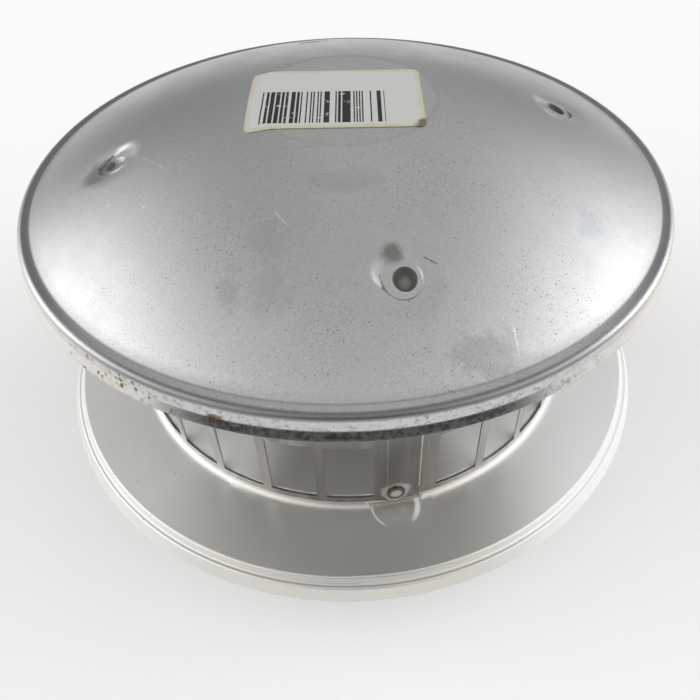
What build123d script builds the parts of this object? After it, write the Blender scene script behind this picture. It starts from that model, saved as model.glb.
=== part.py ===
from build123d import *
from math import atan2, degrees, hypot, radians, sqrt, tan
import os

# Sheet metal and fits
sheet = 0.5
seat_gap = 0.05
bend_radius = 1.0

# Pipe and collar
pipe_diameter = 114.3
pipe_clearance = 0.3
flue_diameter = 101.6
collar_length = 38.0
collar_flange_width = 6.5
collar_lip_height = 2.5
collar_lip_flare = 1.2

# Base disc
disc_diameter = 181.8
disc_step_height = 3.7
disc_step_fillet = 2.6
disc_rim_drop = 1.8
disc_rim_slope_width = 1.1
disc_ledge_width = 1.1
disc_flange_drop = 3.8
disc_flange_flare = 1.7
disc_bend_radius = 0.7
relief_radius = 7.2
relief_depth = 2.6
relief_setback = 1.5
relief_wall_offset = 0.3
ear_width = 9.0
ear_height = 7.5

# Slotted band
band_diameter = 139.7
band_border = 2.1
window_height = 23.0
windows_per_group = 6
bar_width = 2.8
panel_width = 17.9
band_dome_gap = 1.6
lap_width = 9.0
lap_end_offset = 3.8
lap_joggle_width = 2.6
lap_inner_margin = 1.2
tab_width = 10.5
tab_reach = 6.5

# Rain dome
dome_lift = 65.5
dome_rise = 21.5
dome_bulge = 2.0
dome_crease_diameter = 172.0
dome_diameter = 178.5
top_flat_diameter = 48.8
rim_corner_radius = 1.4
flange_height = 4.2
hem_flare = 0.95
hem_drop = 1.9
curl_radius = 0.45
curl_sweep = 250.0

# Press joints of the dome, and the buttons at the foot of the band a little to their side
joint_count = 4
joint_azimuth = -79.2
joint_circle_radius = 61.5
joint_lean = 26.5
pad_sink = 0.6
pad_radius = 4.8
pad_form_height = 4.0
cup_radius = 2.4
cup_depth = 1.2
button_azimuth = -81.6
button_radius = 2.4
button_reach = 0.6
button_lift = 2.4

# Label
label_width = 45.5
label_height = 31.0
label_corner = 2.0
label_thickness = 0.15
label_center = (-2.5, -0.8)
label_turn = -1.0

# Levels and radii that follow from the sizes above
floor_z = collar_length + sheet
disc_z = floor_z - disc_step_height
rim_z = disc_z + dome_lift
top_z = rim_z + dome_rise

band_radius = band_diameter / 2
band_inner_radius = band_radius - sheet
band_middle_radius = band_radius - sheet / 2
step_radius = band_inner_radius - seat_gap
fillet_rise = disc_step_fillet - sqrt(disc_step_fillet**2 - (disc_step_fillet - seat_gap) ** 2)
band_bottom_z = disc_z + fillet_rise + seat_gap
window_bottom_z = band_bottom_z + band_border
button_z = floor_z + button_lift
lap_radius = band_radius + seat_gap
collar_radius = pipe_diameter / 2 + pipe_clearance
press_travel = 2 * sheet + button_reach

group_angle = 360 / joint_count
panel_angle = degrees(panel_width / band_radius)
bar_angle = degrees(bar_width / band_radius)
window_angle = (group_angle - panel_angle + bar_angle) / windows_per_group - bar_angle
window_width = window_angle / degrees(1 / band_radius)
window_pitch = window_angle + bar_angle
lap_end = joint_azimuth + degrees(lap_end_offset / band_radius)
joggle_start = lap_end - degrees(lap_width / band_radius)
joggle_end = joggle_start - degrees(lap_joggle_width / band_radius)
inner_end = joggle_start + degrees(lap_inner_margin / band_radius)

# Arc of the dome between its flat top and the crease at its rim
flat_radius = top_flat_diameter / 2
crease_radius = dome_crease_diameter / 2
flange_radius = dome_diameter / 2
chord_run = crease_radius - flat_radius
chord = hypot(chord_run, dome_rise)
arc_radius = (chord**2 / 4 + dome_bulge**2) / (2 * dome_bulge)
arc_normal = (dome_rise / chord, chord_run / chord)
arc_center_x = (flat_radius + crease_radius) / 2 - arc_normal[0] * (arc_radius - dome_bulge)
arc_center_z = rim_z + dome_rise / 2 - arc_normal[1] * (arc_radius - dome_bulge)


def dome_radius_at(height, depth=0):
    """Radius where the dome's arc, moved in by depth, has the given height."""
    return arc_center_x + sqrt((arc_radius - depth) ** 2 - (height - arc_center_z) ** 2)


def dome_height_at(radius, depth=0):
    """Height of the dome's arc, moved in by depth, at the given radius."""
    return arc_center_z + sqrt((arc_radius - depth) ** 2 - (radius - arc_center_x) ** 2)


joint_z = dome_height_at(joint_circle_radius)
band_top_z = dome_height_at(lap_radius + sheet, sheet) - band_dome_gap
tab_root_z = dome_height_at(band_middle_radius, 1.5 * sheet + seat_gap)


def joint_planes(radius, height, azimuth, lean=90, lift=0):
    """One plane per joint, its normal leaning outwards from the axis, lifted along that normal."""
    spots = PolarLocations(radius, joint_count, azimuth)
    rise = radius / tan(radians(lean))
    planes = [Plane(spot.position + (0, 0, height), z_dir=spot.position + (0, 0, rise)) for spot in spots]
    return [plane.offset(lift) for plane in planes]


def dome_core(depth):
    """Solid under the dome's outer face moved in by depth, with the pads and cups of its joints."""
    arc_reach = arc_radius - depth
    arc_middle = (arc_center_x + arc_normal[0] * arc_reach, arc_center_z + arc_normal[1] * arc_reach)
    top = (dome_radius_at(top_z - depth, depth), top_z - depth)
    crease = (dome_radius_at(rim_z - depth, depth), rim_z - depth)
    corner_center = (flange_radius - rim_corner_radius, rim_z - rim_corner_radius)
    bottom_z = rim_z - flange_height
    with BuildPart() as core:
        with BuildSketch(Plane.XZ):
            with BuildLine():
                start = Polyline((0, bottom_z), (0, top[1]), top)
                ThreePointArc(start @ 1, arc_middle, crease)
                Line(crease, (corner_center[0], rim_z - depth))
                corner = CenterArc(corner_center, rim_corner_radius - depth, 90, -90)
                Polyline(corner @ 1, (flange_radius - depth, bottom_z), (0, bottom_z))
            make_face()
        revolve(axis=Axis.Z)
        pad_planes = joint_planes(joint_circle_radius, joint_z, joint_azimuth, joint_lean, -pad_sink - depth)
        with BuildSketch(*pad_planes):
            Circle(pad_radius - depth)
        extrude(amount=-pad_form_height)
        with BuildSketch(*pad_planes):
            Circle(pad_radius + depth)
        extrude(amount=pad_form_height, mode=Mode.SUBTRACT)
        with BuildSketch(*pad_planes):
            Circle(cup_radius + depth)
        extrude(amount=-cup_depth, mode=Mode.SUBTRACT)
    return core.part


# Rain dome: one stamping with a flat top, four joint pads and a curled flange
with BuildPart() as rain_dome:
    add(dome_core(0))
    add(dome_core(sheet), mode=Mode.SUBTRACT)
    flare_angle = degrees(atan2(hem_flare, hem_drop))
    hem_start = (flange_radius - sheet, rim_z - flange_height)
    hem_end = (hem_start[0] + hem_flare, hem_start[1] - hem_drop)
    curl_step = Vector(-curl_radius, 0).rotate(Axis.Z, flare_angle)
    with BuildSketch(Plane.XZ):
        with BuildLine():
            Line(hem_start, hem_end)
            CenterArc(Vector(*hem_end) + curl_step, curl_radius, flare_angle, -curl_sweep)
            offset(amount=sheet, side=Side.LEFT)
        make_face()
    revolve(axis=Axis.Z)
rain_dome.part.label = "rain_dome"

# Slotted band: one strip rolled into a ring, lapped at one panel, with tabs formed to the dome
with BuildPart() as band_tabs:
    add(dome_core(sheet + seat_gap))
    add(dome_core(2 * sheet + seat_gap), mode=Mode.SUBTRACT)
    tab_length = band_middle_radius - joint_circle_radius + tab_reach
    with BuildSketch(Plane.XY.offset(band_top_z)):
        with PolarLocations(band_middle_radius - tab_length / 2, joint_count, joint_azimuth):
            Rectangle(tab_length + sheet, tab_width)
        Circle(band_middle_radius, mode=Mode.INTERSECT)
    extrude(amount=dome_rise, mode=Mode.INTERSECT)

with BuildPart() as slotted_band:
    with BuildSketch(Plane.XY.offset(band_bottom_z)):
        with BuildLine():
            outer_layer = CenterArc((0, 0), lap_radius, lap_end, joggle_start - lap_end)
            ring = CenterArc((0, 0), band_inner_radius, joggle_end, inner_end - joggle_end - 360)
            Line(outer_layer @ 1, ring @ 0)
            offset(amount=sheet, side=Side.RIGHT)
        make_face()
    extrude(amount=tab_root_z - band_bottom_z)
    with BuildSketch(Plane.XY.offset(band_top_z)):
        Circle(flange_radius)
        with PolarLocations(band_radius, joint_count, joint_azimuth):
            Rectangle(tab_width, tab_width, mode=Mode.SUBTRACT)
    extrude(amount=dome_rise, mode=Mode.SUBTRACT)
    with BuildSketch(Plane.XY.offset(band_top_z)):
        Circle(flange_radius)
        Circle(band_radius + seat_gap / 2, mode=Mode.SUBTRACT)
    extrude(amount=dome_rise, mode=Mode.SUBTRACT)
    add(band_tabs.part)
    with BuildSketch(Plane.XY.offset(window_bottom_z)):
        for group in range(joint_count):
            first = joint_azimuth + group * group_angle + (panel_angle + window_angle) / 2
            group_range = window_pitch * (windows_per_group - 1)
            with PolarLocations(band_radius, windows_per_group, first, group_range, endpoint=True):
                Rectangle(window_width / 2, window_width)
    extrude(amount=window_height, mode=Mode.SUBTRACT)
    with BuildSketch(*joint_planes(band_inner_radius, button_z, button_azimuth)):
        Circle(button_radius)
    extrude(amount=press_travel)
    with BuildSketch(*joint_planes(band_inner_radius - sheet, button_z, button_azimuth)):
        Circle(button_radius - sheet)
    extrude(amount=press_travel, mode=Mode.SUBTRACT)
slotted_band.part.label = "slotted_band"

# Base disc: one stamping with a raised floor, a stepped rim, four ears and their tool reliefs
relief_ball = (relief_radius**2 + relief_depth**2) / (2 * relief_depth)
relief_plane = Plane.XY.offset(disc_z - relief_depth + relief_ball)
relief_inner_radius = step_radius + relief_wall_offset
relief_circle_radius = relief_inner_radius + relief_setback

with BuildPart(relief_plane) as relief_cut:
    with PolarLocations(relief_circle_radius, joint_count, button_azimuth):
        Sphere(relief_ball)
    Cylinder(relief_inner_radius, 4 * relief_ball, mode=Mode.SUBTRACT)

with BuildPart(relief_plane) as relief_form:
    with PolarLocations(relief_circle_radius, joint_count, button_azimuth):
        Sphere(relief_ball + sheet)
    Cylinder(relief_inner_radius - sheet, 4 * relief_ball, mode=Mode.SUBTRACT)
    with BuildSketch(Plane.XY.offset(disc_z)):
        Circle(disc_diameter / 2)
    extrude(amount=-relief_ball, mode=Mode.INTERSECT)
    add(relief_cut.part, mode=Mode.SUBTRACT)

with BuildPart() as base_disc:
    slope_end = disc_diameter / 2 + disc_rim_slope_width
    ledge_end = slope_end + disc_ledge_width
    ledge_z = disc_z - disc_rim_drop
    with BuildSketch(Plane.XZ):
        with BuildLine():
            FilletPolyline(
                (flue_diameter / 2, floor_z),
                (step_radius, floor_z),
                (step_radius, disc_z),
                (disc_diameter / 2, disc_z),
                (slope_end, ledge_z),
                (ledge_end, ledge_z),
                (ledge_end + disc_flange_flare, ledge_z - disc_flange_drop),
                radius=(bend_radius, disc_step_fillet) + 3 * (disc_bend_radius,),
            )
            offset(amount=sheet, side=Side.RIGHT)
        make_face()
    revolve(axis=Axis.Z)
    add(relief_cut.part, mode=Mode.SUBTRACT)
    add(relief_form.part)
    with BuildSketch(Plane.XY.offset(floor_z - disc_step_height / 2)):
        with PolarLocations(step_radius, joint_count, button_azimuth):
            Rectangle(ear_width, ear_width)
        Circle(step_radius, mode=Mode.INTERSECT)
        Circle(step_radius - sheet, mode=Mode.SUBTRACT)
    extrude(amount=ear_height + disc_step_height / 2)
    with BuildSketch(Plane.XY.offset(floor_z)):
        with PolarLocations(step_radius - ear_height / 2, joint_count, button_azimuth):
            Rectangle(ear_height, ear_width)
        Circle(step_radius - sheet, mode=Mode.INTERSECT)
    extrude(amount=-disc_step_height / 2, mode=Mode.SUBTRACT)
    with BuildSketch(*joint_planes(step_radius - sheet, button_z, button_azimuth)):
        Circle(button_radius - sheet - seat_gap)
    extrude(amount=press_travel)
    with BuildSketch(*joint_planes(step_radius - 2 * sheet, button_z, button_azimuth)):
        Circle(button_radius - 2 * sheet - seat_gap)
    extrude(amount=press_travel, mode=Mode.SUBTRACT)
base_disc.part.label = "base_disc"

# Pipe collar: slips over the outer wall of the pipe and carries the base disc on its flange
with BuildPart() as pipe_collar:
    with BuildSketch(Plane.XZ):
        with BuildLine():
            FilletPolyline(
                (collar_radius + collar_lip_flare, 0),
                (collar_radius, collar_lip_height),
                (collar_radius, collar_length),
                (collar_radius + collar_flange_width, collar_length),
                radius=bend_radius,
            )
            offset(amount=sheet, side=Side.RIGHT)
        make_face()
    revolve(axis=Axis.Z)
pipe_collar.part.label = "pipe_collar"

# Paper label that follows the top of the dome
with BuildPart() as label:
    add(dome_core(-seat_gap - label_thickness))
    add(dome_core(-seat_gap), mode=Mode.SUBTRACT)
    with BuildSketch(Plane.XY.offset(rim_z)):
        with Locations(label_center):
            RectangleRounded(label_width, label_height, label_corner, rotation=label_turn)
    extrude(amount=2 * dome_rise, mode=Mode.INTERSECT)
label.part.label = "label"

os.makedirs("parts", exist_ok=True)
for piece in (rain_dome, slotted_band, base_disc, pipe_collar, label):
    export_step(piece.part, f"parts/{piece.part.label}.step")
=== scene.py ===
from math import atan2, cos, hypot, pi, radians, sin, sqrt

import bpy
from mathutils import Matrix, Vector


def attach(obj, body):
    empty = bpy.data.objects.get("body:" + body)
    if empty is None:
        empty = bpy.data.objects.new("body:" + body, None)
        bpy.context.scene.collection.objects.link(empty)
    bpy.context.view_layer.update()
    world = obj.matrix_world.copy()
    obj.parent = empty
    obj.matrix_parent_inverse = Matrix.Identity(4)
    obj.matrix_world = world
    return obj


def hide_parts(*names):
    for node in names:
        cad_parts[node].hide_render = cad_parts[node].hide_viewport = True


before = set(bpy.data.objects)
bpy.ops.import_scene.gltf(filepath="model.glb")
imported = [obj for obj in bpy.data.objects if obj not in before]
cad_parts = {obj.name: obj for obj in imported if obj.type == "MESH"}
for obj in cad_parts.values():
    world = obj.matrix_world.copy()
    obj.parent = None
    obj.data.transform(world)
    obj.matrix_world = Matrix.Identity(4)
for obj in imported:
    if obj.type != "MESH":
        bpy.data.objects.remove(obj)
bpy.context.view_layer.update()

MM = 0.001

# Sizes of the dome, in millimetres, as in the part's source
SHEET = 0.5
RIM_Z = 100.3
DOME_RISE = 21.5
DOME_BULGE = 2.0
FLAT_RADIUS = 24.4
CREASE_RADIUS = 86.0
FLANGE_RADIUS = 89.25
CORNER_RADIUS = 1.4
FLANGE_HEIGHT = 4.2
HEM_FLARE = 0.95
HEM_DROP = 1.9
CURL_RADIUS = 0.45
CURL_SWEEP = 250.0
JOINT_COUNT = 4
JOINT_AZIMUTH = -79.2
JOINT_CIRCLE = 61.5
PAD_RADIUS = 4.3
PAD_SHIFT = -0.6
CUP_RADIUS = 2.4
BUTTON_AZIMUTH = -81.6
BUTTON_Z = 40.9
LAP_AZIMUTH = -76.1
LAP_FOLD = -83.5
POCKET_CIRCLE = 71.1
# Ends of a painted dark line of shade along the crease outside the front pad, in millimetres
PAD_CREASE_LINE = ((15.6, -55.2, 112.4), (18.8, -57.0, 111.5))
RING_EDGE = 87.9

# Steps of the dome's mesh at the press joints: degrees round the axis, millimetres along the radius
COLUMN_STEP = 0.19
ROW_STEP = 0.2

# The label's half sizes and its field of bars, in millimetres
LABEL_HALF = (22.75, 15.5)
BAR_CELL = 0.36
BAR_OFFSET = (3.2, 4.9)
BAR_HALF = (16.0, 8.2)

# Colours of marks on the sheet, and of painted shade and painted highlights on it
SPECK = (0.11, 0.105, 0.10, 1.0)
SMUDGE = (0.22, 0.215, 0.20, 1.0)
SCRATCH = (0.93, 0.93, 0.92, 1.0)
DUST = (0.16, 0.155, 0.15, 1.0)
CLUSTER = (0.10, 0.097, 0.09, 1.0)
# Painted shade in the joints' cups, partly dirt
CUP_SHADE_MIDDLE = (0.15, 0.145, 0.125, 1.0)
CUP_SHADE_SIDE = (0.06, 0.058, 0.05, 1.0)
# Painted shadow along the press pads' walls
PAD_EDGE_SHADE = (0.07, 0.07, 0.075, 1.0)
# Painted shade of the crease line outside the front pad
PAD_CREASE_SHADE = (0.05, 0.05, 0.045, 1.0)
# Painted shade along the dome's creases
CREASE_SHADE = (0.20, 0.20, 0.20, 1.0)
# Painted dark reflection on the dome's flat ring
RING_SHADE = (0.13, 0.135, 0.15, 1.0)
# Painted light: the dome's underside is paler than its top
UNDERSIDE_PAINTED_LIGHT = (0.86, 0.855, 0.84, 1.0)
# Painted shade on the rim's rounded corner
CORNER_SHADE = (0.07, 0.07, 0.07, 1.0)
# Painted dark reflection at the front of the hem, with dirt in it
HEM_SHADE_AND_GRIME = (0.022, 0.021, 0.02, 1.0)
# Top of the flange: mottle that is much darker towards the front (painted shade), and a painted pale sheen at
# the sides and back
MOTTLE = (0.10, 0.095, 0.085, 1.0)
FLANGE_PAINTED_SHEEN = (0.84, 0.81, 0.74, 1.0)
RUST_FLECK = (0.26, 0.17, 0.03, 1.0)
GOLD = (0.30, 0.19, 0.05)
RUST = (0.09, 0.055, 0.02)
BLUE = (0.36, 0.42, 0.52)

# Colours of the band, the disc and the label, with painted shade, painted highlights and painted light among
# them
# Painted shade towards the band's front
BAND_FRONT_SHADE = (0.17, 0.16, 0.145, 1.0)
STREAK_DARK = (0.08, 0.078, 0.07, 1.0)
STREAK_PALE = (0.6, 0.59, 0.56, 1.0)
# Painted shade on the lap panel at the front
PANEL_SHADE = (0.09, 0.088, 0.085, 1.0)
# Painted highlight on the lap's edge
LAP_EDGE_HIGHLIGHT = (0.92, 0.90, 0.84, 1.0)
# Painted sheen on the pressed patch round each button, then a painted shade ring and a painted highlight on
# the button
BUTTON_PATCH_SHEEN = (0.66, 0.65, 0.61, 1.0)
BUTTON_RING_SHADE = (0.05, 0.047, 0.04, 1.0)
BUTTON_TOP_HIGHLIGHT = (0.74, 0.72, 0.67, 1.0)
# Painted shade at the disc's front, in an olive tone
DISC_FRONT_SHADE = (0.62, 0.60, 0.54, 1.0)
# Painted highlights on the relief dents' edges
POCKET_EDGE_HIGHLIGHT = (0.95, 0.945, 0.93, 1.0)
# Painted light: the disc paler at the right and inside the band
DISC_RIGHT_PAINTED_LIGHT = (0.96, 0.958, 0.95, 1.0)
DISC_INSIDE_PAINTED_LIGHT = (0.97, 0.965, 0.945, 1.0)
# Painted shade: the label's paper in a grey tone below its own off-white
PAPER_SHADED_DULL = (0.53, 0.53, 0.515, 1.0)
PAPER_SHADED_PALE = (0.62, 0.62, 0.60, 1.0)
PAPER_YELLOW = (0.52, 0.47, 0.31, 1.0)
INK = (0.012, 0.012, 0.012, 1.0)
DIRT = (0.12, 0.09, 0.05, 1.0)
WHITE = (1.0, 1.0, 1.0, 1.0)


class Nodes:
    """Short way to add nodes to a tree: values that are sockets get linked, others are set."""

    def __init__(self, tree):
        self.tree = tree

    def add(self, kind, values=None, **settings):
        node = self.tree.nodes.new(kind)
        for key, value in settings.items():
            setattr(node, key, value)
        for key, value in (values or {}).items():
            self.put(node.inputs[key], value)
        return node

    def put(self, socket, value):
        if isinstance(value, bpy.types.NodeSocket):
            self.tree.links.new(value, socket)
        else:
            socket.default_value = value

    def math(self, operation, first, second=0.0, third=0.0, clamp=False):
        values = {0: first, 1: second, 2: third}
        return self.add("ShaderNodeMath", values, operation=operation, use_clamp=clamp).outputs[0]

    def vector(self, operation, first, second=(0, 0, 0)):
        node = self.add("ShaderNodeVectorMath", {0: first, 1: second}, operation=operation)
        return node.outputs["Value" if operation in {"LENGTH", "DOT_PRODUCT", "DISTANCE"} else "Vector"]

    def ramp(self, value, low, high, start=0.0, end=1.0):
        """Smooth step of value from low to high."""
        node = self.add("ShaderNodeMapRange", {0: value, 1: low, 2: high, 3: start, 4: end},
                        interpolation_type="SMOOTHSTEP")
        return node.outputs[0]

    def noise(self, vector, scale, detail=2.0, roughness=0.5):
        node = self.add("ShaderNodeTexNoise", {"Vector": vector, "Scale": scale, "Detail": detail,
                                               "Roughness": roughness})
        return node.outputs[0]

    def mix(self, factor, first, second, blend="MIX"):
        node = self.add("ShaderNodeMix", {0: factor, 6: first, 7: second}, data_type="RGBA", blend_type=blend)
        return node.outputs[2]


def new_group(name, inputs, outputs, kind="ShaderNodeTree"):
    """Empty node group with named sockets; inputs are (name, type, value)."""
    tree = bpy.data.node_groups.new(name, kind)
    for title, form, value in inputs:
        socket = tree.interface.new_socket(title, in_out="INPUT", socket_type="NodeSocket" + form)
        if value is not None:
            socket.default_value = value
    for title, form in outputs:
        tree.interface.new_socket(title, in_out="OUTPUT", socket_type="NodeSocket" + form)
    source = tree.nodes.new("NodeGroupInput").outputs
    sink = tree.nodes.new("NodeGroupOutput").inputs
    return Nodes(tree), source, sink


def mill_grain_group():
    """Cloudy tone, uneven gloss and fine grain of rolled sheet."""
    n, source, sink = new_group("mill_grain", [("Vector", "Vector", None), ("Cloud", "Float", 0.1),
                                               ("Grain", "Float", 0.06)],
                                [("Tone", "Float"), ("Rough", "Float"), ("Height", "Float")])
    cloud = n.math("SUBTRACT", n.noise(source["Vector"], 26.0, 4.0), 0.5)
    patch = n.math("SUBTRACT", n.noise(source["Vector"], 150.0, 3.0), 0.5)
    grain = n.math("SUBTRACT", n.noise(source["Vector"], 1900.0, 2.0, 0.6), 0.5)
    slow = n.math("ADD", n.math("MULTIPLY", cloud, source["Cloud"]),
                  n.math("MULTIPLY", patch, n.math("MULTIPLY", source["Cloud"], 0.6)))
    n.put(sink["Tone"], n.math("ADD", n.math("ADD", slow, 1.0), n.math("MULTIPLY", grain, source["Grain"])))
    n.put(sink["Rough"], n.math("ADD", n.math("MULTIPLY", slow, -0.9), n.math("MULTIPLY", grain, 0.12)))
    n.put(sink["Height"], n.math("ADD", grain, n.math("MULTIPLY", patch, 0.8)))
    return n.tree


def pepper_group():
    """Fine specks, thicker in some places than in others."""
    n, source, sink = new_group("pepper_specks", [("Vector", "Vector", None), ("Scale", "Float", 1500.0),
                                                  ("Density", "Float", 0.2), ("Size", "Float", 0.16),
                                                  ("Where", "Float", 1.0)], [("Mask", "Float")])
    cells = n.add("ShaderNodeTexVoronoi", {"Vector": source["Vector"], "Scale": source["Scale"]})
    pick = n.add("ShaderNodeSeparateColor", {0: cells.outputs["Color"]})
    patch = n.ramp(n.noise(source["Vector"], 45.0, 3.0), 0.35, 0.7)
    share = n.math("MULTIPLY", n.math("MULTIPLY", patch, source["Density"]), source["Where"])
    chosen = n.math("LESS_THAN", pick.outputs[0], share)
    size = n.math("MULTIPLY", source["Size"], n.math("ADD", pick.outputs[1], 0.4))
    dot = n.ramp(n.math("SUBTRACT", cells.outputs["Distance"], size), 0.0, 0.15, 1.0, 0.0)
    n.put(sink["Mask"], n.math("MULTIPLY", dot, chosen))
    return n.tree


def soft_spot_group():
    """Round soft-edged patch about a point, broken up by noise."""
    n, source, sink = new_group("soft_spot", [("Vector", "Vector", None), ("Centre", "Vector", (0, 0, 0)),
                                              ("Stretch", "Vector", (1, 1, 1)), ("Radius", "Float", 0.01),
                                              ("Break", "Float", 0.6)], [("Mask", "Float")])
    away = n.vector("MULTIPLY", n.vector("SUBTRACT", source["Vector"], source["Centre"]), source["Stretch"])
    ragged = n.math("SUBTRACT", n.noise(source["Vector"], 220.0, 4.0, 0.65), 0.5)
    torn = n.math("MULTIPLY", n.math("MULTIPLY", ragged, source["Break"]), 2.0)
    reach = n.math("ADD", n.math("DIVIDE", n.vector("LENGTH", away), source["Radius"]), torn)
    n.put(sink["Mask"], n.ramp(reach, 0.35, 1.05, 1.0, 0.0))
    return n.tree


def score_line_group():
    """Thin scratch between two points that fades at its ends."""
    n, source, sink = new_group("score_line", [("Vector", "Vector", None), ("Start", "Vector", (0, 0, 0)),
                                               ("End", "Vector", (0, 0, 0)), ("Width", "Float", 0.0002)],
                                [("Mask", "Float")])
    along = n.vector("SUBTRACT", source["End"], source["Start"])
    away = n.vector("SUBTRACT", source["Vector"], source["Start"])
    square = n.vector("DOT_PRODUCT", along, along)
    part = n.math("DIVIDE", n.vector("DOT_PRODUCT", away, along), square, clamp=True)
    scaled = n.add("ShaderNodeVectorMath", {0: along, "Scale": part}, operation="SCALE").outputs[0]
    gap = n.vector("DISTANCE", away, scaled)
    line = n.ramp(gap, 0.0, source["Width"], 1.0, 0.0)
    fade = n.math("MULTIPLY", n.math("MULTIPLY", part, n.math("SUBTRACT", 1.0, part)), 4.0)
    wear = n.ramp(n.noise(source["Vector"], 900.0, 2.0), 0.3, 0.6)
    n.put(sink["Mask"], n.math("MULTIPLY", n.math("MULTIPLY", line, n.math("POWER", fade, 0.4)), wear))
    return n.tree


def ring_place_group():
    """Radius, height, how far towards the front, and the arc length to the nearest joint."""
    n, source, sink = new_group("ring_place", [("Vector", "Vector", None), ("Azimuth", "Float", 0.0),
                                               ("Count", "Float", 1.0)],
                                [("Radius", "Float"), ("Height", "Float"), ("Front", "Float"),
                                 ("Side", "Float")])
    axes = n.add("ShaderNodeSeparateXYZ", {0: source["Vector"]})
    x, y, z = axes.outputs
    radius = n.math("SQRT", n.math("ADD", n.math("MULTIPLY", x, x), n.math("MULTIPLY", y, y)))
    sector = n.math("DIVIDE", 2 * pi, source["Count"])
    half = n.math("MULTIPLY", sector, 0.5)
    turn = n.math("ADD", n.math("SUBTRACT", n.math("ARCTAN2", y, x), source["Azimuth"]), half)
    turn = n.math("SUBTRACT", n.math("FLOORED_MODULO", turn, sector), half)
    n.put(sink["Radius"], radius)
    n.put(sink["Height"], z)
    n.put(sink["Front"], n.math("DIVIDE", n.math("MULTIPLY", y, -1.0), n.math("MAXIMUM", radius, 0.1 * MM)))
    n.put(sink["Side"], n.math("MULTIPLY", turn, radius))
    return n.tree


MILL_GRAIN = mill_grain_group()
PEPPER = pepper_group()
SOFT_SPOT = soft_spot_group()
SCORE_LINE = score_line_group()
RING_PLACE = ring_place_group()


def place(n, group, values):
    node = n.add("ShaderNodeGroup", node_tree=group)
    for key, value in values.items():
        n.put(node.inputs[key], value)
    return node.outputs


def metres(point):
    return tuple(value * MM for value in point)


def window(n, value, low, high, soft):
    """One inside low to high, in millimetres, with soft ends."""
    return n.math("MULTIPLY", n.ramp(value, (low - soft) * MM, (low + soft) * MM),
                  n.ramp(value, (high - soft) * MM, (high + soft) * MM, 1.0, 0.0))


def distance(n, first, second):
    return n.math("SQRT", n.math("ADD", n.math("MULTIPLY", first, first), n.math("MULTIPLY", second, second)))


def product(n, *masks):
    total = masks[0]
    for mask in masks[1:]:
        total = n.math("MULTIPLY", total, mask)
    return total


def sheet_metal(name, colour, rough, cloud=0.1, grain=0.06, density=0.1, spots=(), lines=(), tints=(),
                where=None, extra=None):
    """Satin sheet: grain, specks, smudges, scratches and coloured deposits, then what extra adds."""
    material = bpy.data.materials.new(name)
    material.use_nodes = True
    material.diffuse_color = (*colour, 1.0)
    n = Nodes(material.node_tree)
    shader = material.node_tree.nodes["Principled BSDF"]
    vector = n.add("ShaderNodeTexCoord").outputs["Object"]
    sheet = place(n, MILL_GRAIN, {"Vector": vector, "Cloud": cloud, "Grain": grain})
    tone = n.add("ShaderNodeCombineColor", {0: sheet["Tone"], 1: sheet["Tone"], 2: sheet["Tone"]}).outputs[0]
    base = n.mix(1.0, tone, (*colour, 1.0), "MULTIPLY")
    rough_now = n.math("ADD", sheet["Rough"], rough)
    values = {"Vector": vector, "Density": density}
    if where:
        values["Where"] = place(n, SOFT_SPOT, {"Vector": vector, "Centre": metres(where[0]),
                                               "Radius": where[1] * MM, "Break": 0.8})["Mask"]
    specks = place(n, PEPPER, values)["Mask"]
    base = n.mix(n.math("MULTIPLY", specks, 0.75), base, SPECK)
    shine = n.math("SUBTRACT", 1.0, n.math("MULTIPLY", specks, 0.5))
    for centre, radius, stretch, amount in spots:
        mask = place(n, SOFT_SPOT, {"Vector": vector, "Centre": metres(centre), "Radius": radius * MM,
                                    "Stretch": stretch, "Break": 1.0})["Mask"]
        base = n.mix(n.math("MULTIPLY", mask, amount), base, SMUDGE)
        rough_now = n.math("ADD", rough_now, n.math("MULTIPLY", mask, 0.10))
    for centre, radius, stretch, amount, tint in tints:
        mask = place(n, SOFT_SPOT, {"Vector": vector, "Centre": metres(centre), "Radius": radius * MM,
                                    "Stretch": stretch, "Break": 1.4})["Mask"]
        mask = n.math("MULTIPLY", mask, amount)
        base = n.mix(mask, base, (*tint, 1.0))
        shine = n.math("MULTIPLY", shine, n.math("SUBTRACT", 1.0, n.math("MULTIPLY", mask, 0.7)))
    for start, end, width in lines:
        mask = place(n, SCORE_LINE, {"Vector": vector, "Start": metres(start), "End": metres(end),
                                     "Width": width * MM})["Mask"]
        base = n.mix(mask, base, SCRATCH)
    if extra:
        base, rough_now, shine = extra(n, vector, base, rough_now, shine)
    n.put(shader.inputs["Base Color"], base)
    n.put(shader.inputs["Roughness"], rough_now)
    n.put(shader.inputs["Metallic"], shine)
    bump = n.add("ShaderNodeBump", {"Strength": 0.12, "Distance": 0.0001, "Height": sheet["Height"]})
    n.put(shader.inputs["Normal"], bump.outputs[0])
    return material


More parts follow.
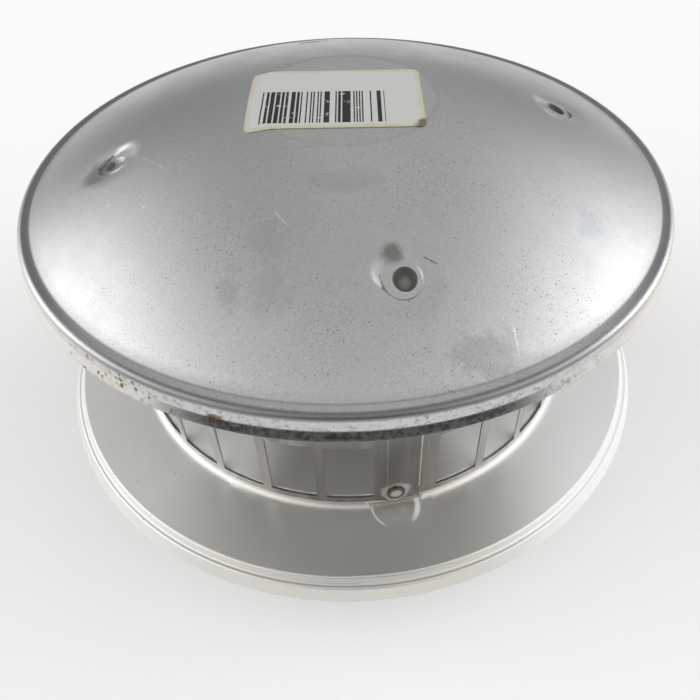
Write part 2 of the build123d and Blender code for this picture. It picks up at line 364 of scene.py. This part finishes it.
def paper_material(name):
    """Off-white sticker painted in a shaded grey tone, yellowed and dirty at its edges, with plain printed
    bars.
    """
    material = bpy.data.materials.new(name)
    material.use_nodes = True
    material.diffuse_color = (0.86, 0.85, 0.79, 1.0)
    n = Nodes(material.node_tree)
    shader = material.node_tree.nodes["Principled BSDF"]
    vector = n.add("ShaderNodeTexCoord").outputs["Object"]
    flat = n.add("ShaderNodeMapping", {"Vector": vector, "Location": metres((2.5, 0.8, 0.0)),
                                       "Rotation": (0, 0, radians(1.0))}).outputs[0]
    axes = n.add("ShaderNodeSeparateXYZ", {0: flat})
    across, upward = axes.outputs[0], axes.outputs[1]
    fibre = n.noise(vector, 900.0, 3.0, 0.6)
    stain = n.noise(vector, 90.0, 4.0, 0.6)
    edge_x = n.math("SUBTRACT", LABEL_HALF[0] * MM, n.math("ABSOLUTE", across))
    edge_y = n.math("SUBTRACT", LABEL_HALF[1] * MM, n.math("ABSOLUTE", upward))
    uneven = n.math("MULTIPLY", n.math("SUBTRACT", stain, 0.5), 4 * MM)
    edge = n.math("ADD", n.math("MINIMUM", edge_x, edge_y), uneven)
    # Painted shade: the paper is given a grey tone below its own off-white
    base = n.mix(n.math("MULTIPLY", fibre, 0.5), PAPER_SHADED_DULL, PAPER_SHADED_PALE)
    base = n.mix(n.ramp(edge, 0.0, 2.0 * MM, 0.75, 0.0), base, PAPER_YELLOW)
    cells = n.math("FLOOR", n.math("DIVIDE", across, BAR_CELL * MM))
    bars = n.add("ShaderNodeTexWhiteNoise", {"W": cells}, noise_dimensions="1D").outputs["Value"]
    bar_x = n.math("ABSOLUTE", n.math("ADD", across, BAR_OFFSET[0] * MM))
    bar_y = n.math("ABSOLUTE", n.math("ADD", upward, BAR_OFFSET[1] * MM))
    inside = n.math("MULTIPLY", n.math("LESS_THAN", bar_x, BAR_HALF[0] * MM),
                    n.math("LESS_THAN", bar_y, BAR_HALF[1] * MM))
    ink = n.math("MULTIPLY", n.math("GREATER_THAN", bars, 0.5), inside)
    worn = n.ramp(n.noise(vector, 500.0, 3.0), 0.25, 0.4)
    base = n.mix(n.math("MULTIPLY", ink, worn), base, INK)
    corner = place(n, SOFT_SPOT, {"Vector": vector, "Centre": metres((19.6, -15.6, 121.8)),
                                  "Radius": 3.0 * MM, "Break": 1.2})["Mask"]
    base = n.mix(n.math("MULTIPLY", corner, 0.9), base, DIRT)
    n.put(shader.inputs["Base Color"], base)
    n.put(shader.inputs["Roughness"], n.math("ADD", n.math("MULTIPLY", fibre, 0.2), 0.55))
    bump = n.add("ShaderNodeBump", {"Strength": 0.2, "Distance": 0.0001, "Height": fibre})
    n.put(shader.inputs["Normal"], bump.outputs[0])
    return material


# Painted shade and painted highlights at the press joints, standing for the dents' shading: centre in
# millimetres, radius, amount, colour
PRESS_PAINTED_LIGHT_AND_SHADE = [((9.0, -55.2, 112.9), 3.6, 0.65, (0.13, 0.11, 0.09)),
                ((-64.6, -13.0, 109.2), 6.0, 0.6, (0.20, 0.20, 0.20)),
                ((-57.8, -7.6, 112.0), 5.0, 0.8, (0.97, 0.97, 0.96)),
                ((56.4, 14.0, 112.2), 3.6, 0.7, (0.97, 0.97, 0.96))]
# Places with close specks: centre and radius in millimetres
SPECK_CLUSTERS = [((-26.5, -59.4, 109.5), 6), ((-18, -50, 114), 7), ((-4.4, -52.5, 114), 6),
                  ((24, -75, 103.8), 8), ((30, -78, 101.5), 7)]


def dome_details(n, vector, base, rough, shine):
    """Painted shade in the cups (partly dirt), painted shade and highlights at the joints, specks, painted
    shade along the creases, ring and corner, underside painted paler, speckled flange with painted shade at
    the front and a painted sheen at the sides, and a painted dark reflection with dirt at the hem.
    """
    at = place(n, RING_PLACE, {"Vector": vector, "Azimuth": radians(JOINT_AZIMUTH), "Count": JOINT_COUNT})
    radius, height, front, side = at["Radius"], at["Height"], at["Front"], at["Side"]
    dust = place(n, PEPPER, {"Vector": vector, "Scale": 2600.0, "Density": 0.6, "Size": 0.2})["Mask"]
    base = n.mix(n.math("MULTIPLY", dust, 0.5), base, DUST)
    out = n.math("SUBTRACT", radius, JOINT_CIRCLE * MM)
    away = distance(n, side, out)
    # Painted shade in each joint's cup, darker at its wall and lighter in its middle, partly dirt; gloss is
    # cut there too
    cup = n.ramp(away, (CUP_RADIUS + 0.25) * MM, (CUP_RADIUS + 0.4) * MM, 1.0, 0.0)
    cup_shade_colour = n.mix(n.ramp(away, 0.4 * MM, 2.0 * MM), CUP_SHADE_MIDDLE, CUP_SHADE_SIDE)
    base = n.mix(n.math("MULTIPLY", cup, 0.97), base, cup_shade_colour)
    shine = n.math("MULTIPLY", shine, n.math("SUBTRACT", 1.0, n.math("MULTIPLY", cup, 0.85)))
    rough = n.math("ADD", rough, n.math("MULTIPLY", cup, 0.3))
    # Painted shadow along the pad's outward wall
    pad_side = n.math("SUBTRACT", side, PAD_SHIFT * MM)
    outward = n.math("SUBTRACT", n.math("MULTIPLY", out, 0.8), n.math("MULTIPLY", pad_side, 0.6))
    pad_edge_shade = product(n, window(n, distance(n, pad_side, out), PAD_RADIUS - 0.1, PAD_RADIUS + 0.4, 0.2),
                   n.ramp(outward, 1.2 * MM, 4.0 * MM, 0.0, 0.8))
    base = n.mix(pad_edge_shade, base, PAD_EDGE_SHADE)
    # Painted shade: a thin dark line along the crease outside the front pad
    pad_crease_shade = place(n, SCORE_LINE, {"Vector": vector, "Start": metres(PAD_CREASE_LINE[0]), "End": metres(PAD_CREASE_LINE[1]),
                                 "Width": 0.3 * MM})
    base = n.mix(pad_crease_shade["Mask"], base, PAD_CREASE_SHADE)
    # Painted shade and painted highlights round the press joints
    for centre, spread, amount, shade in PRESS_PAINTED_LIGHT_AND_SHADE:
        spot = place(n, SOFT_SPOT, {"Vector": vector, "Centre": metres(centre), "Radius": spread * MM,
                                    "Break": 0.6})
        base = n.mix(n.math("MULTIPLY", spot["Mask"], amount), base, (*shade, 1.0))
    for centre, spread in SPECK_CLUSTERS:
        spot = place(n, SOFT_SPOT, {"Vector": vector, "Centre": metres(centre), "Radius": spread * MM,
                                    "Break": 1.0})
        dense = place(n, PEPPER, {"Vector": vector, "Scale": 3000.0, "Density": 0.9, "Size": 0.2,
                                  "Where": spot["Mask"]})
        base = n.mix(n.math("MULTIPLY", dense["Mask"], 0.6), base, CLUSTER)
    fine = n.noise(vector, 700.0, 4.0, 0.7)
    broad = n.noise(vector, 120.0, 3.0)
    facing = n.ramp(front, 0.60, 0.90)
    # Painted shade along the dome's lower and upper creases
    lower = window(n, radius, CREASE_RADIUS - 0.25, CREASE_RADIUS + 0.25, 0.2)
    upper = window(n, radius, FLAT_RADIUS - 0.6, FLAT_RADIUS + 0.5, 0.6)
    crease = n.math("ADD", n.math("MULTIPLY", lower, 0.35), n.math("MULTIPLY", upper, 0.12))
    base = n.mix(crease, base, CREASE_SHADE)
    # Painted dark reflection on the flat ring, strongest away from the front
    ring = product(n, window(n, radius, CREASE_RADIUS, RING_EDGE, 0.15),
                   n.ramp(height, (RIM_Z - 0.5) * MM, (RIM_Z - 0.3) * MM), n.ramp(front, 0.5, 0.9, 0.65, 0.0))
    base = n.mix(ring, base, RING_SHADE)
    # Painted light: the underside is paler and less glossy than the top, to brighten the inside
    normal = n.add("ShaderNodeNewGeometry").outputs["True Normal"]
    below = n.ramp(n.add("ShaderNodeSeparateXYZ", {0: normal}).outputs[2], -0.3, -0.6)
    base = n.mix(below, base, UNDERSIDE_PAINTED_LIGHT)
    shine = n.math("MULTIPLY", shine, n.math("SUBTRACT", 1.0, n.math("MULTIPLY", below, 0.6)))
    # Painted shade on the rounded corner, towards the front
    corner = product(n, n.ramp(radius, 87.3 * MM, 88.3 * MM),
                     n.ramp(height, (RIM_Z - 1.9) * MM, (RIM_Z - 0.9) * MM), n.math("MULTIPLY", facing, 0.7))
    base = n.mix(corner, base, CORNER_SHADE)
    # Painted dark reflection at the front of the hem, with dirt in it; gloss is cut there
    low = n.ramp(height, (RIM_Z - FLANGE_HEIGHT - 0.35) * MM, (RIM_Z - FLANGE_HEIGHT + 0.1) * MM, 1.0, 0.0)
    outer = n.ramp(radius, 87.0 * MM, 87.6 * MM)
    hem_shade_and_grime = product(n, low, outer, n.ramp(front, 0.86, 0.95), n.ramp(fine, 0.35, 0.65, 1.0, 0.85))
    base = n.mix(hem_shade_and_grime, base, HEM_SHADE_AND_GRIME)
    shine = n.math("MULTIPLY", shine, n.math("SUBTRACT", 1.0, n.math("MULTIPLY", hem_shade_and_grime, 0.6)))
    # Top of the flange: mottled marks, much darker towards the front (painted shade), and a painted pale
    # sheen at the sides and back
    flange = product(n, n.ramp(height, (RIM_Z - 1.5) * MM, (RIM_Z - 1.2) * MM, 1.0, 0.0), outer)
    mottle = product(n, flange, n.ramp(fine, 0.50, 0.68), n.math("MULTIPLY_ADD", facing, 0.5, 0.06))
    base = n.mix(mottle, base, MOTTLE)
    base = n.mix(product(n, flange, n.math("SUBTRACT", 1.0, facing), 0.8), base, FLANGE_PAINTED_SHEEN)
    left = n.ramp(n.add("ShaderNodeSeparateXYZ", {0: vector}).outputs[0], -0.02, -0.03)
    region = product(n, flange, left, n.ramp(front, 0.60, 0.70), n.ramp(front, 0.92, 0.96, 1.0, 0.0))
    rust = place(n, PEPPER, {"Vector": vector, "Scale": 620.0, "Density": 0.9, "Size": 0.24,
                             "Where": region})["Mask"]
    base = n.mix(n.math("MULTIPLY", rust, n.ramp(broad, 0.30, 0.45)), base, RUST_FLECK)
    return base, rough, shine


def band_details(n, vector, base, rough, shine):
    """Painted shade towards the front and on the front panel, broad streaks, painted highlights on the lap
    edge, and on each button a painted shade ring and highlight over a painted pale patch.
    """
    at = place(n, RING_PLACE, {"Vector": vector, "Azimuth": radians(BUTTON_AZIMUTH), "Count": JOINT_COUNT})
    side, height = at["Side"], at["Height"]
    # Painted shade: the band is darker towards the front, standing for the dark disc it reflects there
    base = n.mix(n.ramp(at["Front"], 0.86, 0.985, 0.0, 0.62), base, BAND_FRONT_SHADE)
    strip = n.add("ShaderNodeCombineXYZ", {0: side, 2: n.math("MULTIPLY", height, 0.12)})
    streak = n.noise(strip.outputs[0], 210.0, 3.0, 0.6)
    base = n.mix(n.ramp(streak, 0.35, 0.65, 0.35, 0.0), base, STREAK_DARK)
    base = n.mix(n.ramp(streak, 0.60, 0.75, 0.0, 0.25), base, STREAK_PALE)
    # Painted shade on the lap panel at the front
    panel = product(n, window(n, side, -5.5, 6.5, 1.0), n.ramp(at["Front"], 0.9, 0.97, 0.0, 0.4))
    base = n.mix(panel, base, PANEL_SHADE)
    # Painted highlights along the lap's edge and, fainter, along the lap's bend
    for azimuth, amount in ((LAP_AZIMUTH, 0.6), (LAP_FOLD, 0.14)):
        lap = place(n, RING_PLACE, {"Vector": vector, "Azimuth": radians(azimuth), "Count": 1.0})["Side"]
        edge = product(n, window(n, lap, -0.30, 0.05, 0.1), n.ramp(height, 40.5 * MM, 42.5 * MM, 0.0, amount))
        base = n.mix(edge, base, LAP_EDGE_HIGHLIGHT)
    # Painted sheen on the pressed patch round each button, a painted shade ring round the button and a
    # painted highlight on its top
    away = distance(n, side, n.math("SUBTRACT", height, BUTTON_Z * MM))
    uneven = n.math("MULTIPLY", n.math("SUBTRACT", n.noise(vector, 300.0, 2.0), 0.5), 3 * MM)
    painted_sheen = n.math("ADD", away, uneven)
    base = n.mix(n.ramp(painted_sheen, 3.5 * MM, 4.8 * MM, 0.7, 0.0), base, BUTTON_PATCH_SHEEN)
    base = n.mix(n.math("MULTIPLY", window(n, away, 1.7, 2.6, 0.3), 0.9), base, BUTTON_RING_SHADE)
    base = n.mix(n.ramp(away, 0.5 * MM, 1.7 * MM, 0.7, 0.0), base, BUTTON_TOP_HIGHLIGHT)
    return base, rough, shine


def disc_details(n, vector, base, rough, shine):
    """Painted olive shade at the front, painted highlights on the relief dents' edges, and painted light that
    makes the disc paler at the right and inside the band.
    """
    at = place(n, RING_PLACE, {"Vector": vector})
    # Painted shade: the disc is olive-dark and less glossy towards the front
    front = n.ramp(at["Front"], 0.70, 0.98)
    floor = n.ramp(at["Radius"], 69.2 * MM, 69.4 * MM, 1.0, 0.0)
    patch = n.math("MULTIPLY_ADD", n.math("SUBTRACT", n.noise(vector, 60.0, 3.0), 0.5), 0.3, 0.85)
    base = n.mix(n.math("MULTIPLY", front, n.math("MULTIPLY", patch, 0.75)), base, DISC_FRONT_SHADE)
    shine = n.math("MULTIPLY", shine, n.math("MULTIPLY_ADD", front, 0.20, 0.58))
    rough = n.math("SUBTRACT", rough, n.math("MULTIPLY", front, 0.14))
    # Painted highlights on the walls of the relief dents
    pocket = place(n, RING_PLACE, {"Vector": vector, "Azimuth": radians(BUTTON_AZIMUTH),
                                   "Count": JOINT_COUNT})
    side = pocket["Side"]
    away = distance(n, side, n.math("SUBTRACT", pocket["Radius"], POCKET_CIRCLE * MM))
    wide = product(n, window(n, away, 5.4, 6.9, 0.5), n.ramp(side, 2.5 * MM, 5.5 * MM))
    thin = product(n, window(n, away, 6.5, 7.1, 0.2), n.ramp(side, -3.0 * MM, -5.5 * MM, 0.0, 0.7))
    painted_sheen = n.math("ADD", wide, thin)
    painted_sheen = n.math("MULTIPLY", painted_sheen, n.ramp(pocket["Radius"], 69.6 * MM, 70.2 * MM))
    base = n.mix(painted_sheen, base, POCKET_EDGE_HIGHLIGHT)
    shine = n.math("MULTIPLY", shine, n.math("SUBTRACT", 1.0, n.math("MULTIPLY", painted_sheen, 0.8)))
    # Painted light: the disc is paler and duller at the right
    right = n.ramp(n.add("ShaderNodeSeparateXYZ", {0: vector}).outputs[0], 30 * MM, 75 * MM)
    base = n.mix(right, base, DISC_RIGHT_PAINTED_LIGHT)
    shine = n.math("MULTIPLY", shine, n.math("SUBTRACT", 1.0, n.math("MULTIPLY", right, 0.9)))
    # Painted light: the floor inside the band is paler and matte, away from the front
    inner = n.math("MULTIPLY", floor, n.ramp(at["Front"], 0.84, 0.97, 1.0, 0.0))
    base = n.mix(inner, base, DISC_INSIDE_PAINTED_LIGHT)
    shine = n.math("MULTIPLY", shine, n.math("SUBTRACT", 1.0, inner))
    return base, rough, shine


# Marks below: smudges are (centre, radius, stretch, amount), deposits the same with a colour,
# scratches (start, end, width), in millimetres
dome_metal = sheet_metal(
    "dome_satin_sheet", (0.61, 0.61, 0.605), 0.34, cloud=0.20, grain=0.34, density=0.28, extra=dome_details,
    where=((8, -52, 112), 62),
    spots=[((-17.7, -61.8, 109.8), 6, (1, 0.7, 1), 0.30), ((-26, -60, 109), 5, (1.4, 0.7, 1), 0.36),
           ((-18.7, -49.8, 114), 6, (1, 0.8, 1), 0.30), ((-0.7, -35.3, 119), 7, (0.6, 1.6, 1), 0.22),
           ((28, -76, 102.8), 9, (0.7, 1.3, 1), 0.40), ((-18, -71.4, 106), 9, (0.8, 1, 1), 0.12)],
    tints=[((57.5, -39.7, 107.6), 6, (1.6, 0.8, 1), 0.30, BLUE),
           ((49.5, -22.4, 113.5), 7, (0.9, 1, 1), 0.16, BLUE),
           ((-29.2, -85.0, 95.9), 1.9, (0.75, 1, 1.3), 0.95, RUST),
           ((-28.4, -85.3, 96.3), 0.8, (0.8, 1, 1.2), 0.8, GOLD),
           ((-36, -82.4, 96.8), 0.9, (1, 1, 1), 0.8, GOLD), ((-42, -79.6, 96.8), 1.0, (1, 1, 1), 0.7, GOLD),
           ((-48, -76.2, 96.6), 0.8, (1, 1, 1), 0.7, GOLD), ((46, -77.9, 95.6), 1.2, (1, 1, 1), 0.8, GOLD),
           ((-28.9, -59.7, 109), 0.3, (1, 1, 1), 0.8, GOLD)],
    lines=[((-16.9, -42.4, 116.3), (-13.8, -46.6, 115.4), 0.28),
           ((34, -69.1, 104.5), (34.6, -75.9, 101.8), 0.32),
           ((-52.1, -13.7, 113.6), (-48.5, -18, 114.4), 0.35),
           ((-47.5, -18.5, 114.5), (-44, -22.8, 115.1), 0.3),
           ((-55.3, -27.1, 110.8), (-34.2, -39.7, 114.1), 0.22),
           ((-59.4, -28, 109.4), (-58.2, -28.8, 109.4), 0.6),
           ((-49.2, -32.6, 111.8), (-48.4, -33.4, 111.8), 0.5),
           ((72.2, -8.2, 106.5), (72.9, -10, 106.2), 0.5)])
band_metal = sheet_metal("band_satin_sheet", (0.56, 0.555, 0.535), 0.24, cloud=0.14, density=0.08,
                         extra=band_details)
disc_metal = sheet_metal("disc_satin_sheet", (0.84, 0.835, 0.815), 0.48, cloud=0.12, density=0.05,
                         extra=disc_details)
collar_metal = sheet_metal("collar_satin_sheet", (0.58, 0.575, 0.56), 0.38, cloud=0.14, density=0.08)
label_paper = paper_material("label_paper")


def dome_profile(depth, fine):
    """Radius and height down the dome's face, moved in by depth, from its middle to the end of its curl."""
    run = CREASE_RADIUS - FLAT_RADIUS
    chord = hypot(run, DOME_RISE)
    arc = (chord ** 2 / 4 + DOME_BULGE ** 2) / (2 * DOME_BULGE)
    centre_r = (FLAT_RADIUS + CREASE_RADIUS) / 2 - DOME_RISE / chord * (arc - DOME_BULGE)
    centre_z = RIM_Z + DOME_RISE / 2 - run / chord * (arc - DOME_BULGE)

    def height(radius):
        return centre_z + sqrt((arc - depth) ** 2 - (radius - centre_r) ** 2)

    def radius_at(level):
        return centre_r + sqrt((arc - depth) ** 2 - (level - centre_z) ** 2)

    flat = radius_at(RIM_Z + DOME_RISE - depth)
    crease = radius_at(RIM_Z - depth)
    points = [(flat * share, RIM_Z + DOME_RISE - depth) for share in (0.02, 0.2, 0.4, 0.6, 0.8, 0.93, 0.985)]
    stops = [flat + 0.35 + 2.2 * i for i in range(12)] if fine else [flat + 0.4 + 4.5 * i for i in range(6)]
    dense = (*range(-50, -27, 2), *range(-26, 27), *range(28, 41, 2)) if fine else range(-45, 46, 5)
    near = [JOINT_CIRCLE + ROW_STEP * i for i in dense]
    stops = [value for value in stops if value < near[0] - 0.3] + near
    while stops[-1] + 2.2 < crease - 0.5:
        stops.append(stops[-1] + 2.0)
    stops.append(crease - 0.5)
    points += [(value, height(value)) for value in stops]
    corner = (FLANGE_RADIUS - CORNER_RADIUS, RIM_Z - CORNER_RADIUS)
    points += [(crease + 0.35, RIM_Z - depth), (corner[0] - 0.9, RIM_Z - depth)]
    turns = 7 if fine else 4
    for i in range(turns + 1):
        angle = pi / 2 * (1 - i / turns)
        reach = CORNER_RADIUS - depth
        points.append((corner[0] + reach * cos(angle), corner[1] + reach * sin(angle)))
    low = RIM_Z - FLANGE_HEIGHT
    points += [(FLANGE_RADIUS - depth, corner[1] - (corner[1] - low) * share) for share in (0.3, 0.7, 0.94)]
    flare = atan2(HEM_FLARE, HEM_DROP)
    out = (cos(flare), sin(flare))
    hem = (FLANGE_RADIUS - SHEET, low)
    lift = SHEET - depth
    for share in (0.08, 0.4, 0.75, 0.97):
        points.append((hem[0] + HEM_FLARE * share + out[0] * lift, hem[1] - HEM_DROP * share + out[1] * lift))
    curl = (hem[0] + HEM_FLARE - out[0] * CURL_RADIUS, hem[1] - HEM_DROP - out[1] * CURL_RADIUS)
    reach = CURL_RADIUS + lift
    turns = 14 if fine else 8
    for i in range(turns + 1):
        angle = flare - radians(CURL_SWEEP) * i / turns
        points.append((curl[0] + reach * cos(angle), curl[1] + reach * sin(angle)))
    return points


def dome_columns():
    """Angles round the dome, close together at the press joints."""
    angles = []
    close = (*range(-54, -27, 2), *range(-27, 28), *range(28, 50, 2))
    for joint in range(JOINT_COUNT):
        middle = radians(JOINT_AZIMUTH + 90 * joint)
        angles += [middle + radians(COLUMN_STEP * i) for i in close]
        start, stop = middle + radians(COLUMN_STEP * 49), middle + radians(90 - COLUMN_STEP * 54)
        angles += [start + (stop - start) * i / 26 for i in range(1, 26)]
    return angles


def spun_shell(name, columns, faces):
    """Closed sheet: the outer profile and the inner one, spun round the axis and joined at the curl's end."""
    rows = faces[0] + list(reversed(faces[1]))
    count = len(columns)
    verts = [(r * cos(a) * MM, r * sin(a) * MM, z * MM) for r, z in rows for a in columns]
    polys = []
    for i in range(len(rows) - 1):
        for j in range(count):
            k = (j + 1) % count
            polys.append((i * count + j, (i + 1) * count + j, (i + 1) * count + k, i * count + k))
    for ring, turned in ((0, False), (len(rows) - 1, True)):
        verts.append((0, 0, rows[ring][1] * MM))
        hub = len(verts) - 1
        for j in range(count):
            a, b = ring * count + j, ring * count + (j + 1) % count
            polys.append((hub, b, a) if turned else (hub, a, b))
    mesh = bpy.data.meshes.new(name)
    mesh.from_pydata(verts, [], polys)
    mesh.update()
    mesh.polygons.foreach_set("use_smooth", [True] * len(polys))
    return mesh


def press_joint_tree():
    """One rule for every press joint of the dome: tilted pad, wall soft on one side, dish and cup."""
    names = {"Count": JOINT_COUNT, "Azimuth": radians(JOINT_AZIMUTH), "Circle": JOINT_CIRCLE * MM,
             "Lean": -0.08, "Pad Radius": PAD_RADIUS * MM, "Pad Shift": PAD_SHIFT * MM,
             "Pad Drop": 0.42 * MM, "Pad Tilt": 0.07,
             "Wall": 0.32 * MM, "Soft Wall": 3.0 * MM, "Soft Side": -0.85, "Soft Rise": -0.53,
             "Dish Radius": 9.0 * MM, "Dish Depth": 0.35 * MM, "Dish Shift": 1.5 * MM,
             "Cup Radius": (CUP_RADIUS + 0.15) * MM, "Cup Depth": 1.1 * MM, "Cup Wall": 0.6 * MM}
    inputs = [("Sheet", "Geometry", None)] + [(title, "Float", value) for title, value in names.items()]
    inputs.append(("Finish", "Material", None))
    n, source, sink = new_group("press_joints", inputs, [("Sheet", "Geometry")], "GeometryNodeTree")
    axes = n.add("ShaderNodeSeparateXYZ", {0: n.add("GeometryNodeInputPosition").outputs[0]})
    x, y, z = axes.outputs
    radius = n.math("SQRT", n.math("ADD", n.math("MULTIPLY", x, x), n.math("MULTIPLY", y, y)))
    sector = n.math("DIVIDE", 2 * pi, source["Count"])
    half = n.math("MULTIPLY", sector, 0.5)
    turn = n.math("ADD", n.math("SUBTRACT", n.math("ARCTAN2", y, x), source["Azimuth"]), half)
    turn = n.math("SUBTRACT", n.math("FLOORED_MODULO", turn, sector), half)
    side = n.math("MULTIPLY", turn, radius)
    out = n.math("SUBTRACT", radius, source["Circle"])
    level = n.math("SUBTRACT", n.math("ADD", n.math("MULTIPLY", out, source["Lean"]),
                                      n.math("MULTIPLY", side, source["Pad Tilt"])), source["Pad Drop"])
    pad_side = n.math("SUBTRACT", side, source["Pad Shift"])
    reach = n.math("MAXIMUM", distance(n, pad_side, out), 0.01 * MM)
    facing = n.math("ADD", n.math("MULTIPLY", pad_side, source["Soft Side"]),
                    n.math("MULTIPLY", out, source["Soft Rise"]))
    facing = n.math("POWER", n.math("MAXIMUM", n.math("DIVIDE", facing, reach), 0.0), 3.0)
    wall = n.math("MULTIPLY_ADD", source["Soft Wall"], facing, source["Wall"])
    pad = n.ramp(n.math("DIVIDE", n.math("SUBTRACT", reach, source["Pad Radius"]), wall), 0.0, 1.0, 1.0, 0.0)
    cup_foot = n.math("SUBTRACT", source["Cup Radius"], source["Cup Wall"])
    cup = n.ramp(distance(n, side, out), cup_foot, source["Cup Radius"], 1.0, 0.0)
    cup = n.math("MULTIPLY", cup, source["Cup Depth"])
    dish_reach = distance(n, side, n.math("SUBTRACT", out, source["Dish Shift"]))
    dish = n.ramp(n.math("DIVIDE", dish_reach, source["Dish Radius"]), 0.3, 1.0, 1.0, 0.0)
    dish = n.math("MULTIPLY", dish, source["Dish Depth"])
    dent = n.math("MULTIPLY", dish, -1.0)
    shaped = n.math("MULTIPLY_ADD", n.math("SUBTRACT", level, dent), pad, dent)
    drop = n.add("ShaderNodeCombineXYZ", {2: n.math("SUBTRACT", shaped, cup)}).outputs[0]
    moved = n.add("GeometryNodeSetPosition", {"Geometry": source["Sheet"], "Offset": drop})
    whole = n.add("GeometryNodeRealizeInstances", {0: moved.outputs[0]})
    done = n.add("GeometryNodeSetMaterial", {"Geometry": whole.outputs[0], "Material": source["Finish"]})
    n.put(sink["Sheet"], done.outputs[0])
    return n.tree


def formed(mesh, name, tree, values):
    """Plain object made by a Geometry Nodes tree from a mesh, with the tree's named inputs set."""
    holder = bpy.data.objects.new(name + "_blank", mesh)
    bpy.context.scene.collection.objects.link(holder)
    modifier = holder.modifiers.new("form", "NODES")
    modifier.node_group = tree
    for item in tree.interface.items_tree:
        if item.in_out == "INPUT" and item.name in values:
            modifier[item.identifier] = values[item.name]
    ready = holder.evaluated_get(bpy.context.evaluated_depsgraph_get())
    result = bpy.data.meshes.new_from_object(ready)
    holder.modifiers.remove(modifier)
    bpy.data.objects.remove(holder)
    result.name = name
    piece = bpy.data.objects.new(name, result)
    bpy.context.scene.collection.objects.link(piece)
    return piece


shell_mesh = spun_shell("dome_blank", dome_columns(), (dome_profile(0.0, True), dome_profile(SHEET, False)))
dome = formed(shell_mesh, "dome_shell", press_joint_tree(), {"Finish": dome_metal})
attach(dome, "root")
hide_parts("rain_dome")

for node, material in (("slotted_band", band_metal), ("base_disc", disc_metal), ("pipe_collar", collar_metal),
                       ("label", label_paper)):
    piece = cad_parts[node]
    piece.data.materials.clear()
    piece.data.materials.append(material)

# Soft lights round the cap: azimuth and elevation in degrees, brightness, and how narrow the light is
NARROW, BROAD = 12.0, 6.0
SOFT_LIGHTS = ((90, 18, 0.41, NARROW), (90, 52, 0.41, NARROW), (132, 22, 0.24, NARROW),
               (132, 55, 0.07, NARROW), (168, 22, 2.4, NARROW), (48, 22, 0.36, NARROW),
               (48, 55, 0.15, NARROW), (12, 22, 2.67, NARROW), (90, 86, 0.34, NARROW),
               (-150, 32, 1.75, BROAD), (-30, 32, 1.65, BROAD), (-90, 62, 0.28, NARROW))


def studio_world():
    """Soft lights on a dark surround give the sheet broad gradients; seen straight on it is white."""
    world = bpy.data.worlds.new("studio")
    bpy.context.scene.world = world
    world.use_nodes = True
    n = Nodes(world.node_tree)
    back = world.node_tree.nodes["Background"]
    way = n.add("ShaderNodeTexCoord").outputs["Generated"]
    level = 0.0
    for azimuth, elevation, brightness, narrowness in SOFT_LIGHTS:
        a, e = radians(azimuth), radians(elevation)
        facing = n.vector("DOT_PRODUCT", way, (cos(a) * cos(e), sin(a) * cos(e), sin(e)))
        glow = n.math("POWER", n.math("MAXIMUM", facing, 0.0), narrowness)
        level = n.math("MULTIPLY_ADD", glow, brightness, level)
    sky = n.add("ShaderNodeCombineColor", {0: level, 1: level, 2: level}).outputs[0]
    ray = n.add("ShaderNodeLightPath")
    n.put(back.inputs["Color"], n.mix(ray.outputs["Is Camera Ray"], sky, WHITE))
    back.inputs["Strength"].default_value = 1.0


def pale_floor():
    """Plain floor that keeps the cap's shadow and looks near white."""
    mesh = bpy.data.meshes.new("floor")
    half = 4.0
    corners = [(-half, -half, 0), (half, -half, 0), (half, half, 0), (-half, half, 0)]
    mesh.from_pydata(corners, [], [(0, 1, 2, 3)])
    floor = bpy.data.objects.new("floor", mesh)
    bpy.context.scene.collection.objects.link(floor)
    material = bpy.data.materials.new("floor_pale")
    material.use_nodes = True
    n = Nodes(material.node_tree)
    shader = material.node_tree.nodes["Principled BSDF"]
    shader.inputs["Base Color"].default_value = (0.86, 0.86, 0.855, 1.0)
    shader.inputs["Roughness"].default_value = 0.8
    shader.inputs["Emission Color"].default_value = WHITE
    ray = n.add("ShaderNodeLightPath")
    seen = n.math("MAXIMUM", ray.outputs["Is Camera Ray"], ray.outputs["Is Glossy Ray"])
    n.put(shader.inputs["Emission Strength"], n.math("MULTIPLY", seen, 0.15))
    mesh.materials.append(material)


studio_world()
pale_floor()


# Camera: image side, focal length and image centre in pixels, and its place in metres
IMAGE_PX = 700.0
FOCAL_PX = 701.0
CENTRE_PX = (370.8, 331.5)
SENSOR_MM = 36.0
CAMERA_PLACE = (0.0, -0.1733, 0.2096)


def photo_camera():
    """Camera that was fitted to the round edges in the photo."""
    pitch, yaw, roll = radians(45.45), radians(2.07), radians(-0.47)
    look = Vector((sin(yaw) * cos(pitch), cos(yaw) * cos(pitch), -sin(pitch)))
    right = Vector((cos(yaw), -sin(yaw), 0.0))
    up = right.cross(look)
    side = right * cos(roll) + up * sin(roll)
    top = up * cos(roll) - right * sin(roll)
    data = bpy.data.cameras.new("photo_camera")
    data.sensor_width = SENSOR_MM
    data.lens = FOCAL_PX / IMAGE_PX * SENSOR_MM
    data.shift_x = (IMAGE_PX / 2 - CENTRE_PX[0]) / IMAGE_PX
    data.shift_y = (CENTRE_PX[1] - IMAGE_PX / 2) / IMAGE_PX
    data.clip_start = 0.01
    camera = bpy.data.objects.new("photo_camera", data)
    matrix = Matrix((side, top, -look)).transposed().to_4x4()
    matrix.translation = Vector(CAMERA_PLACE)
    camera.matrix_world = matrix
    bpy.context.scene.collection.objects.link(camera)
    bpy.context.scene.camera = camera


photo_camera()
bpy.context.scene.view_settings.view_transform = "Standard"
